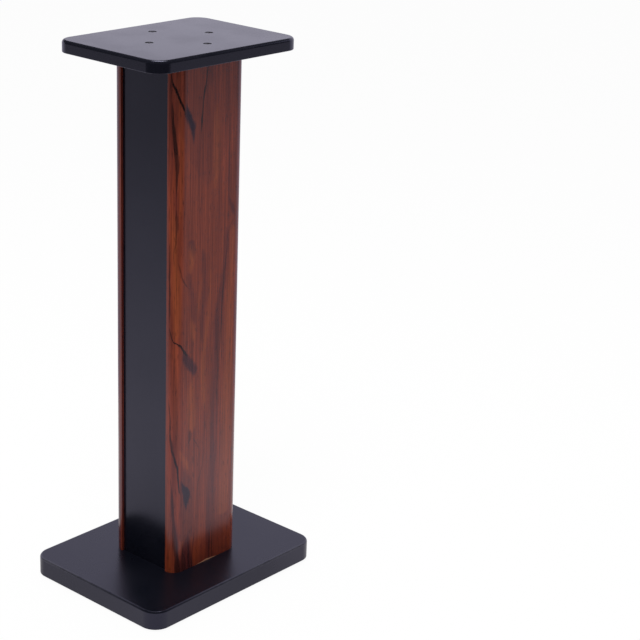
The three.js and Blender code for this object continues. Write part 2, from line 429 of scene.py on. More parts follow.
def lay_foil(bm, side, inner_x, low, high):
    """Unrolls the panel's skin into its foil map, in metres: across it as seen from outside, then up it."""
    foil = bm.loops.layers.uv.new("foil")
    half_flat = (high.y - low.y) / 2 - panel_edge_radius
    bm.normal_update()
    for face in bm.faces:
        on_inner_face = abs(face.calc_center_median().x) - inner_x < same_place
        for loop in face.loops:
            x, y, z = loop.vert.co
            out = abs(x) - inner_x - panel_edge_flat
            past = abs(y) - half_flat
            across = abs(y)
            if past > 0 and not on_inner_face:
                turn = math.atan2(past, max(out, 0.0))
                across = half_flat + panel_edge_radius * turn + max(-out, 0.0)
            loop[foil].uv = (math.copysign(across, side * y), z - low.z)


# The grain lines of the foil, each given down its length as (height up the panel, place across
# it, half width), all in millimetres, then how dark it is printed.
grain_lines = [
    (
        [
            (650, -63, 1), (640, -61, 1.8), (628, -56, 2.4),
            (617, -51.5, 2.6), (605, -46, 2.2), (592, -42, 0.4),
        ],
        0.95,
    ),
    ([(612, -61, 1), (596, -60, 2.4), (580, -58.5, 3.2), (568, -57.5, 3.4), (552, -55.5, 2.8)], 0.8),
    ([(556, -56, 2.8), (535, -54, 3.2), (518, -55, 3), (505, -55, 1.6), (495, -54.5, 0.4)], 0.7),
    (
        [
            (655, -8.5, 0.8), (640, -9.5, 1.8), (625, -12, 2),
            (605, -15, 2.1), (588, -17, 2), (562, -17.5, 0.4),
        ],
        0.9,
    ),
    (
        [
            (486, -55, 0.5), (476, -54, 1.8), (462, -54, 2.2),
            (448, -55, 2), (430, -57.5, 1.6), (412, -59, 0.5),
        ],
        0.5,
    ),
    ([(425, -53, 0.4), (408, -50, 1.6), (396, -46, 2), (386, -40, 1.8), (379, -32, 0.5)], 0.55),
    (
        [
            (332, -62, 1), (320, -60, 1.7), (315, -56, 2.2),
            (311, -50, 3), (304, -44.5, 2.8), (297, -40, 2.6),
        ],
        0.9,
    ),
    ([(299, -41, 2.6), (296, -37, 1.8), (292, -33, 0.4)], 0.6),
    ([(240, -62.5, 1), (215, -61.5, 1.8), (190, -60.5, 2.2), (172, -58.5, 2.3), (158, -54.5, 2.3)], 0.8),
    ([(160, -55, 2.3), (145, -51.5, 2.3), (130, -50, 2.2), (118, -48.5, 1.8), (106, -46, 0.5)], 0.95),
    (
        [
            (158, -7, 0.6), (140, -9, 1.3), (124, -14, 1.5),
            (108, -17, 1.5), (92, -19, 1.3), (60, -20.5, 1.2),
        ],
        0.55,
    ),
    ([(62, -20.5, 1.2), (40, -23, 1.6), (20, -25, 2), (0, -26, 2)], 0.6),
    ([(46, -45, 1), (30, -43, 3), (12, -41, 5), (0, -40, 6)], 0.42),
    ([(44, -33, 0.6), (28, -32, 2), (12, -31, 3), (0, -30, 3)], 0.5),
    ([(52, 5.5, 0.6), (35, 5.5, 1.6), (15, 5.5, 2.4), (0, 5.5, 2.4)], 0.5),
    (
        [
            (125, -59, 1), (100, -57.5, 2.4), (80, -56, 2.6), (60, -54.5, 2.8),
            (40, -53, 3), (20, -51, 4), (0, -49.5, 5),
        ],
        0.65,
    ),
    (
        [
            (440, 31, 1), (400, 27.5, 1.6), (375, 24.5, 2.2),
            (350, 22.5, 1.6), (320, 21, 1.8), (290, 19, 1.6),
        ],
        0.5,
    ),
    (
        [
            (292, 19, 1.6), (260, 17.5, 1.5), (235, 15.5, 1.5),
            (200, 16, 1.2), (170, 15.5, 1.2), (140, 14.5, 1.3),
        ],
        0.45,
    ),
    (
        [
            (142, 14.5, 1.3), (110, 12.5, 1.2), (80, 11.2, 1.3),
            (50, 10.8, 1.8), (20, 10.8, 2.4), (0, 10.8, 2.4),
        ],
        0.55,
    ),
    ([(335, 9, 0.6), (305, 7.5, 1.2), (270, 6, 1.2), (240, 4.5, 1.2), (200, 5, 1), (165, 5.5, 1)], 0.35),
    ([(167, 5.5, 1), (140, 4, 1.2), (118, 1.5, 1), (60, 0, 1), (0, -1, 1.2)], 0.4),
    ([(193, -31, 1.2), (187, -31, 3.4), (181, -31.5, 3), (175, -34, 1)], 0.5),
    ([(182, -28, 0.8), (176, -23, 1.7), (170, -18.5, 1.7), (163, -15, 0.7)], 0.6),
    ([(158, -26, 1), (152, -26, 3), (146, -25, 1)], 0.4),
    ([(136, -26, 0.8), (131, -25, 2.6), (126, -24, 0.8)], 0.4),
    ([(168, -37, 0.5), (158, -35.5, 1.3), (146, -33, 0.5)], 0.4),
    ([(199, -16.5, 0.5), (190, -17, 1.2), (179, -16, 0.5)], 0.35),
    ([(199, -5, 1), (193, -4.5, 2.4), (186, -3, 1)], 0.3),
    ([(440, -62.5, 1), (400, -62.5, 1.8), (370, -62, 1.8), (340, -62, 0.8)], 0.65),
    ([(490, -63.5, 0.5), (478, -63.5, 1.9), (465, -63, 0.5)], 0.5),
    ([(464, 43, 0.5), (456, 40.5, 1.4), (448, 35, 1.4), (441, 31, 0.6)], 0.4),
    ([(650, -62, 1), (600, -64, 1.5), (540, -65, 1.5), (500, -65, 0.5)], 0.5),
]

# The purple smudges that the lines run into, given in the same way. Two of them are painted shade: the broad
# one under the top plate and the wide one at the foot.
purple_smudges_and_painted_shade = [
    (
        [
            (613, -43, 2), (602, -41, 6.5), (594, -38, 8.5),
            (586, -34, 9), (577, -31.5, 6.5), (556, -30, 2),
        ],
        1.0,
    ),
    ([(570, -31, 3), (555, -29, 4), (543, -28, 1)], 0.3),
    ([(655, -63, 5), (620, -62, 4), (580, -62, 4), (540, -61, 4), (500, -62, 3), (488, -62, 1)], 0.5),
    (
        [
            (560, 30, 1.5), (535, 30.5, 4), (510, 30.5, 4.5), (490, 31, 4),
            (478, 34, 6), (470, 38, 7), (458, 42, 2),
        ],
        0.5,
    ),
    (
        [
            (445, 29, 5), (420, 28, 7), (395, 26, 7), (365, 21, 9),
            (330, 15, 10), (290, 13, 9), (240, 12, 8.5), (200, 11, 9),
        ],
        0.38,
    ),
    ([(206, 11, 9), (170, 11, 8.5), (130, 9, 9), (95, 6, 9), (60, 5, 8.5), (0, 5, 8.5)], 0.38),
    (
        [
            (303, -43, 3), (294, -40, 8.5), (286, -35, 11),
            (278, -30, 11), (271, -26, 8), (264, -25, 3),
        ],
        0.72,
    ),
    (
        [
            (128, -46, 3), (119, -42, 7.5), (112, -38, 10),
            (105, -36, 10), (96, -37, 7.5), (82, -37, 3),
        ],
        1.0,
    ),
    ([(152, -46, 1), (138, -42, 7), (115, -36, 15), (90, -36, 15), (45, -36, 16)], 0.28),
    ([(78, -30, 1), (58, -32, 4), (38, -35, 9), (15, -37, 15), (0, -37, 17)], 0.62),
    ([(510, -56, 2), (495, -56, 7), (465, -56, 7), (450, -56, 2)], 0.2),
    ([(300, -56, 2), (270, -56, 7), (180, -56, 7), (0, -56, 7)], 0.15),
    # Painted shade: the top plate's shadow, darkening the grain a little near the top of the panel.
    ([(659, -5, 62), (600, -5, 55), (560, -5, 42), (525, -5, 22), (500, -5, 2)], 0.16),
    ([(100, -57, 3), (80, -55, 5), (50, -52, 6), (20, -50, 7), (0, -49, 8)], 0.5),
    ([(425, -12, 5), (400, -9, 7), (370, -8, 7), (340, -12, 7), (320, -13, 6), (304, -12, 3)], 0.35),
    ([(400, -37, 5), (385, -34, 8), (370, -30, 8), (350, -26, 8), (332, -25, 3)], 0.28),
    ([(659, -4, 9), (640, -2, 10), (625, -1, 6), (602, 0, 2)], 0.35),
    ([(645, 27, 8), (610, 27, 9), (580, 24, 7), (558, 22, 2)], 0.22),
    ([(275, -16, 3), (240, -16, 4), (200, -16, 4), (178, -15, 2)], 0.2),
    ([(440, -32, 8), (430, -30, 7), (416, -28, 2)], 0.4),
    ([(659, 42, 8), (600, 44, 7), (540, 44, 6), (480, 45, 5), (440, 45, 3)], 0.4),
    ([(659, 60, 10), (300, 60, 10), (0, 60, 10)], 0.45),
    # Painted shade: the base's shade, darkening the grain at the foot of the panel.
    ([(62, 14, 2), (46, 13, 11), (26, 12, 26), (0, 12, 34)], 0.2),
]

# The lighter, redder bands between the lines, and a pale line along the panel's foot.
light_bands = [
    ([(604, 8, 4), (580, 8, 9), (560, 9, 10), (535, 9, 10), (515, 8, 8), (495, 6, 3)], 0.4),
    (
        [
            (648, -55, 4), (620, -53, 5), (600, -51.5, 5), (575, -49.5, 5),
            (545, -48.5, 4.6), (510, -49, 5), (478, -50, 5),
        ],
        0.3,
    ),
    (
        [
            (484, -58, 3), (460, -57, 7), (420, -56, 7), (385, -54, 9),
            (355, -53, 9), (326, -53, 7), (316, -54, 3),
        ],
        0.45,
    ),
    ([(312, -55, 3), (295, -55, 7), (270, -54, 7), (230, -54, 7), (190, -52, 6), (163, -50, 3)], 0.2),
    ([(395, -13, 2), (380, -15, 4), (360, -19, 5), (343, -21, 3)], 0.4),
    (
        [
            (405, 1, 2), (380, 1, 4), (348, -1, 5), (320, -4, 6),
            (300, -8, 6), (280, -10, 7), (250, -9, 8), (215, -6, 4),
        ],
        0.5,
    ),
    (
        [
            (445, 40, 6), (400, 38, 8), (340, 36, 10), (280, 36, 11),
            (220, 34, 13), (140, 33, 13), (60, 30, 13),
        ],
        0.35,
    ),
    ([(438, -33, 4), (420, -31, 8), (402, -33, 5)], 0.5),
    ([(342, -31, 3), (325, -28, 8), (308, -26, 3)], 0.4),
    ([(262, -28, 3), (240, -30, 10), (205, -28, 11), (192, -28, 6)], 0.45),
    ([(172, -50, 3), (160, -44, 7), (150, -38, 8), (138, -33, 4)], 0.45),
    ([(105, -62, 3), (80, -63, 4), (60, -62.5, 5), (30, -61, 5), (0, -60, 6)], 0.3),
]
pale_foot_line = [([(0.9, 1, 0.3), (0.5, 1, 14), (0, 1, 22)], 0.95)]

line_softness = 0.0019
smudge_softness = 0.0065
band_softness = 0.0080
pale_foot_softness = 0.0060


def drawn_curve(tree, height_share, points, beyond):
    """A value that follows given (height share, value) points up the panel."""
    curve = add_node(tree, "FloatCurve", {"Value": height_share})
    line = curve.mapping.curves[0]
    ordered = sorted(points)
    first_height, last_height = ordered[0][0], ordered[-1][0]
    if beyond is not None:
        margin = 0.006
        if first_height > margin:
            ordered.insert(0, (first_height - margin, beyond))
        if last_height < 1.0 - margin:
            ordered.append((last_height + margin, beyond))
    line.points[0].location = ordered[0]
    line.points[1].location = ordered[-1]
    for point in ordered[1:-1]:
        line.points.new(*point)
    for point in line.points:
        point.handle_type = "AUTO_CLAMPED"
    curve.mapping.update()
    return curve.outputs["Value"]


def grain_mask(tree, across_share, height_share, marks, softness):
    """The union of a family of listed marks, from 0 outside them to their darkness inside."""
    mm = 0.001
    full_width = 2 * half_foil
    union = None
    for path, darkness in marks:
        centres = [(z * mm / foil_height, (s * mm + half_foil) / full_width) for z, s, _ in path]
        widths = [(z * mm / foil_height, w * mm / full_width) for z, _, w in path]
        centre = drawn_curve(tree, height_share, centres, None)
        half_width = drawn_curve(tree, height_share, widths, 0.0)
        apart = math_node(tree, "ABSOLUTE", math_node(tree, "SUBTRACT", across_share, centre))
        inside = math_node(tree, "SUBTRACT", half_width, apart)
        mask = spread(tree, inside, 0.0, softness / full_width, 0.0, darkness)
        union = mask if union is None else math_node(tree, "MAXIMUM", union, mask)
    return union


fibre_kinds = {
    "Threads": {"stretch": 0.012, "detail": 5.0, "faintest": 0.25, "fullest": 0.75},
    "Bands": {"stretch": 0.045, "detail": 4.0, "faintest": 0.30, "fullest": 0.70},
    "Pores": {"stretch": 0.06, "detail": 2.0, "faintest": 0.60, "fullest": 0.71},
}


def fibre_group():
    """Straight fibres along the second coordinate: fine threads, slow bands and short dark pores."""
    per_metre_inputs = [f"{name} Per Metre" for name in fibre_kinds]
    tree, given, result = new_group("wood fibre", per_metre_inputs, list(fibre_kinds))
    for name, kind in fibre_kinds.items():
        map_inputs = {"Vector": given.outputs["Position"], "Scale": (1.0, kind["stretch"], 1.0)}
        drawn_out = add_node(tree, "Mapping", map_inputs).outputs["Vector"]
        per_metre = given.outputs[f"{name} Per Metre"]
        noise_inputs = {"Vector": drawn_out, "Scale": per_metre, "Detail": kind["detail"]}
        noise = add_node(tree, "TexNoise", noise_inputs).outputs["Fac"]
        feed(tree, result.inputs[name], spread(tree, noise, kind["faintest"], kind["fullest"]))
    return tree


wood_fibre = fibre_group()

rosewood_mid = (0.240, 0.0425, 0.0155, 1.0)
rosewood_deep = (0.158, 0.0270, 0.0120, 1.0)
rosewood_light = (0.335, 0.0750, 0.0150, 1.0)
rosewood_purple = (0.020, 0.0060, 0.0160, 1.0)
rosewood_black = (0.0060, 0.0028, 0.0026, 1.0)
pale_foot_colour = (0.40, 0.20, 0.12, 1.0)
thread_darkness = 0.42
pore_darkness = 0.72
line_waver = 0.0030
wavers_per_metre = 260.0
waver_stretch = 0.12
foil_roughness = (0.20, 0.25)
foil_pore_depth = 0.00003
thread_height_share = 0.15
foil_gloss_level = 0.58
foil_gloss_tint = (0.78, 0.80, 1.0, 1.0)


def rosewood_foil_material():
    """Printed grain on the unrolled foil: ground, bands, smudges with painted shade, lines, fibres and a pale
    line along the foot.
    """
    material, tree, shader = new_material("glossy rosewood foil")
    foil = add_node(tree, "UVMap", uv_map="foil").outputs["UV"]
    fibre_inputs = {
        "Position": foil,
        "Threads Per Metre": 700.0,
        "Bands Per Metre": 170.0,
        "Pores Per Metre": 1100.0,
    }
    fibre = place_group(tree, wood_fibre, fibre_inputs)
    threads, pores = fibre.outputs["Threads"], fibre.outputs["Pores"]
    apart = add_node(tree, "SeparateXYZ", {"Vector": foil})

    waver_map = add_node(tree, "Mapping", {"Vector": foil, "Scale": (1.0, waver_stretch, 1.0)})
    waver_inputs = {"Vector": waver_map.outputs["Vector"], "Scale": wavers_per_metre, "Detail": 6.0}
    waver = add_node(tree, "TexNoise", waver_inputs).outputs["Fac"]
    off_middle = math_node(tree, "SUBTRACT", waver, 0.5)
    wavered = math_node(tree, "MULTIPLY_ADD", off_middle, 2 * line_waver, apart.outputs["X"])
    from_edge = math_node(tree, "ADD", wavered, half_foil)
    across_share = math_node(tree, "DIVIDE", from_edge, 2 * half_foil)
    height_share = math_node(tree, "DIVIDE", apart.outputs["Y"], foil_height)

    lines = grain_mask(tree, across_share, height_share, grain_lines, line_softness)
    # The smudges hold two marks of painted shade, under the top plate and at the foot.
    smudge_and_shade_mask = grain_mask(tree, across_share, height_share, purple_smudges_and_painted_shade, smudge_softness)
    bands = grain_mask(tree, across_share, height_share, light_bands, band_softness)
    # A pale line along the very foot of the panel.
    rub = grain_mask(tree, across_share, height_share, pale_foot_line, pale_foot_softness)
    thread_shade = vary(tree, threads, (thread_darkness, 0.0))
    pore_shade = math_node(tree, "MULTIPLY", pores, pore_darkness)

    colour = blend_colours(tree, fibre.outputs["Bands"], rosewood_deep, rosewood_mid)
    layers = [
        (bands, rosewood_light),
        (smudge_and_shade_mask, rosewood_purple),
        (lines, rosewood_black),
        (thread_shade, rosewood_black),
        (pore_shade, rosewood_black),
        (rub, pale_foot_colour),
    ]
    for share, layer_colour in layers:
        colour = blend_colours(tree, share, colour, layer_colour)

    raised_threads = math_node(tree, "MULTIPLY", threads, thread_height_share)
    inputs = {
        "Base Color": colour,
        "Roughness": vary(tree, threads, foil_roughness),
        "Specular IOR Level": foil_gloss_level,
        "Specular Tint": foil_gloss_tint,
        "Normal": relief(tree, math_node(tree, "SUBTRACT", raised_threads, pores), foil_pore_depth),
    }
    dress_shader(tree, shader, inputs)
    return material


rosewood_foil = rosewood_foil_material()

for side, name in ((1, "right"), (-1, "left")):
    node = f"{name}_side_panel"
    panel_low, panel_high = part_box(node)
    outward = Vector((side, 0.0, 0.0))
    inner_x = min(abs(panel_low.x), abs(panel_high.x))
    outer_x = max(abs(panel_low.x), abs(panel_high.x))
    panel_work = block(panel_low, panel_high)
    outer_edges = [
        e for e in upright_edges(panel_work)
        if all(abs(abs(v.co.x) - outer_x) < same_place for v in e.verts)
    ]
    round_over(panel_work, outer_edges, panel_edge_radius, panel_edge_steps)
    pilot_holes(panel_work, side * side_screw_x, 0.0, panel_low.z, panel_high.z)
    dowel_mouths = [
        blind_hole(
            panel_work,
            Vector((side * inner_x, y, z)),
            outward,
            dowel_hole_radius,
            side_dowel_hole_depth,
            dowel_hole_steps,
        )
        for y in (-black_panel_middle_y, black_panel_middle_y)
        for z in dowel_heights(panel_low.z, panel_high.z)
    ]
    open_face(panel_work, -outward, dowel_mouths)
    lay_foil(panel_work, side, inner_x, panel_low, panel_high)
    make_piece(panel_work, f"{name}_rosewood_panel", rosewood_foil, node)


# ---- Front and rear panels of the column -----------------------------------------------------
# Two 12 mm boards in satin black laminate, set back 3.5 mm between the side panels.
# They are glued on three dowels along each upright edge, and take a screw in each end.

black_dowel_hole_depth = 0.0208
satin_roughness = (0.19, 0.24)

black_laminate = black_laminate_material("satin black laminate", satin_roughness)

for name in ("front", "rear"):
    node = f"{name}_panel"
    panel_low, panel_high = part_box(node)
    middle_y = (panel_low.y + panel_high.y) / 2
    panel_work = block(panel_low, panel_high)
    pilot_holes(panel_work, 0.0, math.copysign(black_screw_y, middle_y), panel_low.z, panel_high.z)
    for side in (-1, 1):
        outward = Vector((side, 0.0, 0.0))
        dowel_mouths = [
            blind_hole(
                panel_work,
                Vector((side * panel_high.x, middle_y, z)),
                -outward,
                dowel_hole_radius,
                black_dowel_hole_depth,
                dowel_hole_steps,
            )
            for z in dowel_heights(panel_low.z, panel_high.z)
        ]
        open_face(panel_work, outward, dowel_mouths)
    make_piece(panel_work, f"{name}_black_panel", black_laminate, node)


# ---- Dowels ----------------------------------------------------------------------------------
# Twelve fluted beech dowels, 6 by 30 mm, glued three to a corner joint inside the column.
# They are the CAD's own solids, given the bare wood they are turned from.

beech_pale = (0.62, 0.40, 0.19, 1.0)
beech_deep = (0.48, 0.27, 0.11, 1.0)
beech_fleck = (0.30, 0.15, 0.06, 1.0)
beech_fleck_depth = 0.00004
beech_roughness = (0.62, 0.78)


def beech_material():
    """Bare wood, with its fibres along the dowel."""
    material, tree, shader = new_material("bare beech")
    place = add_node(tree, "TexCoord").outputs["Object"]
    quarter_turn = (0.0, 0.0, math.pi / 2)
    along_dowel = add_node(tree, "Mapping", {"Vector": place, "Rotation": quarter_turn})
    fibre_inputs = {
        "Position": along_dowel.outputs["Vector"],
        "Threads Per Metre": 2200.0,
        "Bands Per Metre": 500.0,
        "Pores Per Metre": 2600.0,
    }
    fibre = place_group(tree, wood_fibre, fibre_inputs)
    banded = blend_colours(tree, fibre.outputs["Bands"], beech_deep, beech_pale)
    inputs = {
        "Base Color": blend_colours(tree, fibre.outputs["Pores"], banded, beech_fleck),
        "Roughness": vary(tree, fibre.outputs["Threads"], beech_roughness),
        "Normal": relief(tree, fibre.outputs["Threads"], beech_fleck_depth),
    }
    dress_shader(tree, shader, inputs)
    return material


bare_beech = beech_material()
for name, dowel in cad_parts.items():
    if "dowel" in name:
        for dowel_slot in dowel.material_slots:
            dowel_slot.material = bare_beech


# ---- Top plate -------------------------------------------------------------------------------
# The speaker's shelf: a 15 mm board in the column's satin black laminate, routed and rounded
# like the base. Its four countersunk holes come down from above, one over each panel.

top_corner_radius = 0.021
top_upper_edge_radius = 0.004
top_wear = 0.03

top_low, top_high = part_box("top_plate")
top_work = rounded_board(top_low, top_high, top_corner_radius, top_upper_edge_radius, top_wear)
let_in_screws(top_work, top_high.z, down, top_high.z - top_low.z)
make_piece(top_work, "top_board", black_laminate, "top_plate")


# ---- Screws ----------------------------------------------------------------------------------
# Eight countersunk 5 mm steel screws with a cross recess and a black finish: four down through
# the top plate, four up through the base, each into the end of a column panel.

screw_steps = 48
head_radius = 0.0048
head_rim = 0.0004
head_edge_radius = 0.00012
head_edge_steps = 3
head_wear = 1.0
shank_radius = 0.0025
tip_length = 0.005
tip_radius = 0.00015
recess_depth = 0.0018
recess_reach = 0.0017
recess_half_slot = 0.00035
recess_floor_share = 0.45

steel_black = (0.150, 0.148, 0.162, 1.0)
steel_worn = (0.260, 0.255, 0.265, 1.0)
steel_roughness = (0.36, 0.46)
steel_grain_depth = 0.000003


def blackened_steel_material():
    """A black finish over a fine grain, with bare steel showing where the head's edge is rubbed."""
    material, tree, shader = new_material("blackened steel")
    place = add_node(tree, "TexCoord").outputs["Object"]
    texture_inputs = {"Position": place, "Pebbles Per Metre": 5200.0, "Mottles Per Metre": 420.0}
    texture = place_group(tree, pressed_texture, texture_inputs)
    edge = place_group(tree, edge_rub_and_highlight, {"Position": place, "Scuffs Per Metre": 700.0})
    inputs = {
        "Base Color": blend_colours(tree, edge.outputs["Rub"], steel_black, steel_worn),
        "Metallic": 1.0,
        "Roughness": vary(tree, texture.outputs["Mottle"], steel_roughness),
        "Normal": relief(tree, texture.outputs["Height"], steel_grain_depth),
    }
    dress_shader(tree, shader, inputs)
    return material


def cross_outline(bm):
    """The outline of the cross recess in the face of the head: one arm, turned to all four sides."""
    arm = [
        bm.verts.new((recess_half_slot, recess_half_slot, 0.0)),
        bm.verts.new((recess_reach, recess_half_slot, 0.0)),
        bm.verts.new((recess_reach, -recess_half_slot, 0.0)),
        bm.verts.new((recess_half_slot, -recess_half_slot, 0.0)),
    ]
    arm_edges = [bm.edges.new(pair) for pair in zip(arm, arm[1:])]
    for turn in range(1, 4):
        copied = bmesh.ops.duplicate(bm, geom=arm + arm_edges)["geom"]
        verts = [g for g in copied if isinstance(g, bmesh.types.BMVert)]
        turned = Matrix.Rotation(turn * math.pi / 2, 3, "Z")
        bmesh.ops.rotate(bm, cent=(0.0, 0.0, 0.0), matrix=turned, verts=verts)
    bmesh.ops.remove_doubles(bm, verts=bm.verts, dist=same_place)
    return list(bm.edges)


def screw_mesh(length):
    """A screw pointing down from the top of its head at the origin."""
    bm = bmesh.new()
    cross = cross_outline(bm)
    recess_floor = extruded(bm, cross)
    bmesh.ops.scale(bm, vec=(recess_floor_share, recess_floor_share, 1.0), verts=recess_floor)
    bmesh.ops.translate(bm, vec=(0.0, 0.0, -recess_depth), verts=recess_floor)
    bmesh.ops.edgeloop_fill(bm, edges=edges_between(recess_floor))
    body = [
        (head_radius, 0.0),
        (head_radius, head_rim),
        (shank_radius, head_rim + head_radius - shank_radius),
        (shank_radius, length - tip_length),
        (tip_radius, length),
    ]
    head, tip = round_wall(bm, Vector((0.0, 0.0, 0.0)), down, screw_steps, body)
    bmesh.ops.edgeloop_fill(bm, edges=tip)
    bmesh.ops.triangle_fill(bm, use_beauty=True, edges=cross + head, normal=up)
    head_edge = round_over(bm, head, head_edge_radius, head_edge_steps)
    mark_arris(bm, head_edge, head_wear)
    return bm


blackened_steel = blackened_steel_material()
turned_over = Matrix.Rotation(math.pi, 4, "X")

for plate in ("top", "base"):
    for place in screw_places:
        node = f"{plate}_screw_{place}"
        screw_low, screw_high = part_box(node)
        middle = (screw_low + screw_high) / 2
        screw_work = screw_mesh(screw_high.z - screw_low.z)
        if plate == "top":
            seat = Matrix.Translation((middle.x, middle.y, screw_high.z))
        else:
            seat = Matrix.Translation((middle.x, middle.y, screw_low.z)) @ turned_over
        bmesh.ops.transform(screw_work, matrix=seat, verts=screw_work.verts)
        make_piece(screw_work, f"{plate}_{place}_steel_screw", blackened_steel, node)


# ---- Feet ------------------------------------------------------------------------------------
# Four moulded rubber discs, 24 mm across and 3 mm thick, glued under the corners of the base.
# Their lower rim is rounded.

foot_steps = 64
foot_edge_radius = 0.0008
rubber_black = (0.0055, 0.0055, 0.0058, 1.0)
rubber_dusty = (0.021, 0.020, 0.019, 1.0)
rubber_roughness = (0.62, 0.80)
rubber_pebble_height = 0.00003


def rubber_material():
    """Matt moulded rubber, greyed in patches by dust."""
    material, tree, shader = new_material("matt black rubber")
    place = add_node(tree, "TexCoord").outputs["Object"]
    texture_inputs = {"Position": place, "Pebbles Per Metre": 2400.0, "Mottles Per Metre": 160.0}
    texture = place_group(tree, pressed_texture, texture_inputs)
    inputs = {
        "Base Color": blend_colours(tree, texture.outputs["Mottle"], rubber_black, rubber_dusty),
        "Roughness": vary(tree, texture.outputs["Mottle"], rubber_roughness),
        "Normal": relief(tree, texture.outputs["Height"], rubber_pebble_height),
    }
    dress_shader(tree, shader, inputs)
    return material


matt_rubber = rubber_material()

for corner in ("front_left", "front_right", "rear_left", "rear_right"):
    node = f"{corner}_foot"
    foot_low, foot_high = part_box(node)
    foot_radius = (foot_high.y - foot_low.y) / 2
    foot_work = bmesh.new()
    bmesh.ops.create_cone(
        foot_work,
        cap_ends=True,
        segments=foot_steps,
        radius1=foot_radius,
        radius2=foot_radius,
        depth=foot_high.z - foot_low.z,
        matrix=Matrix.Translation((foot_low + foot_high) / 2),
    )
    round_over(foot_work, level_edges(foot_work, foot_low.z), foot_edge_radius, edge_steps)
    make_piece(foot_work, f"{corner}_rubber_foot", matt_rubber, node)


# ---- Studio: floor, backdrop and light -------------------------------------------------------
# A white paper floor that the stand's gloss sees bright nearby and darker far off and in front: a painted
# reflection, with a painted shadow of the stand close to it.
# Two white cards are seen only by the gloss: a tall folded one on the left and behind, and a low
# one that carries on from it to the front. One soft lamp is in front and one hangs overhead.

# Level directions from the stand: towards the camera, and away to the right.
camera_side = Vector((0.649, -0.761, 0.0))
far_right_side = Vector((0.649, 0.761, 0.0))

floor_radius = 9.0
floor_steps = 96
white = (1.0, 1.0, 1.0, 1.0)
paper_white = (0.82, 0.82, 0.82, 1.0)
mirrored_paper = (1.0, 0.965, 1.0, 1.0)
shadow_share = 0.05

# The floor's brightness for gloss, as factors that change between two distances in metres: from
# the first distance to the second, the factor goes from the third number to the fourth.
# Painted reflection and shade: the first distance factor darkens the floor close to the stand, and the first
# factor ahead darkens it in front, as a painted shadow of the stand.
factors_by_distance = [
    (0.15, 0.42, 0.66, 1.0),
    (0.40, 1.5, 1.0, 0.56),
    (1.2, 3.2, 1.0, 0.7),
]
factors_ahead = [
    (-0.02, 0.05, 1.0, 0.8),
    (0.06, 0.22, 1.0, 1.15),
    (0.22, 0.95, 1.0, 0.08),
]
factors_to_the_right = [
    (0.20, 0.85, 1.15, 0.62),
    (1.0, 2.4, 1.0, 1.5),
    (-0.34, -0.18, 0.80, 1.0),
    (-1.25, -0.75, 1.17, 1.0),
    (-2.1, -1.4, 0.83, 1.0),
    (-3.4, -2.4, 1.2, 1.0),
]


def painted_floor_gloss(tree, position):
    """How bright the paper floor is painted where a gloss sees it, with a painted shadow of the stand near it
    and in front.
    """

    def reach(direction):
        along = add_node(tree, "VectorMath", {0: position, 1: direction}, operation="DOT_PRODUCT")
        return along.outputs["Value"]

    off = add_node(tree, "VectorMath", {0: position}, operation="LENGTH").outputs["Value"]
    measured = [
        (off, factors_by_distance),
        (reach(camera_side), factors_ahead),
        (reach(far_right_side), factors_to_the_right),
    ]
    lit = None
    for distance, factors in measured:
        for near, far, at_near, at_far in factors:
            factor = spread(tree, distance, near, far, at_near, at_far)
            lit = factor if lit is None else math_node(tree, "MULTIPLY", lit, factor)
    return lit


def stage_material(name):
    """A material for the studio, with no nodes yet, that isn't sampled as a lamp."""
    material = bpy.data.materials.new(name)
    material.use_nodes = True
    material.cycles.emission_sampling = "NONE"
    material.node_tree.nodes.clear()
    return material, material.node_tree


def glow(tree, kind, colour, strength):
    """Plain light of one colour, as an Emission or a Background node."""
    return add_node(tree, kind, {"Color": colour, "Strength": strength})


def mix_shaders(tree, share, first, second):
    return add_node(tree, "MixShader", {0: share, 1: first.outputs[0], 2: second.outputs[0]})


def seen_in_gloss(tree, path):
    """One for the rays that a gloss or a clear surface sends on, and zero for all others."""
    return math_node(tree, "MAXIMUM", path.outputs["Is Glossy Ray"], path.outputs["Is Transmission Ray"])


def put_out(tree, kind, surface):
    """Makes this the surface of a material or of the world."""
    add_node(tree, kind, {"Surface": surface.outputs[0]}).is_active_output = True


def paper_floor_material():
    """Paper that the camera sees as white but for a little shadow, and that is clear from below."""
    material, tree = stage_material("white paper floor")
    geometry = add_node(tree, "NewGeometry")
    path = add_node(tree, "LightPath")
    paper = add_node(tree, "BsdfDiffuse", {"Color": paper_white})
    seen_white = glow(tree, "Emission", white, 1.0)
    mirrored = glow(tree, "Emission", mirrored_paper, painted_floor_gloss(tree, geometry.outputs["Position"]))
    camera_share = math_node(tree, "MULTIPLY", path.outputs["Is Camera Ray"], 1.0 - shadow_share)
    for_camera = mix_shaders(tree, camera_share, paper, seen_white)
    for_gloss = mix_shaders(tree, seen_in_gloss(tree, path), for_camera, mirrored)
    clear = add_node(tree, "BsdfTransparent")
    put_out(tree, "OutputMaterial", mix_shaders(tree, geometry.outputs["Backfacing"], for_gloss, clear))
    return material


def make_stage_object(bm, name, material):
    """Turns finished mesh work into a thing of the studio."""
    mesh = bpy.data.meshes.new(name)
    bm.to_mesh(mesh)
    bm.free()
    mesh.materials.append(material)
    made = bpy.data.objects.new(name, mesh)
    scene.collection.objects.link(made)
    return made


floor_work = bmesh.new()
bmesh.ops.create_circle(floor_work, cap_ends=True, segments=floor_steps, radius=floor_radius)
bmesh.ops.recalc_face_normals(floor_work, faces=floor_work.faces)
paper_floor = make_stage_object(floor_work, "paper_floor", paper_floor_material())

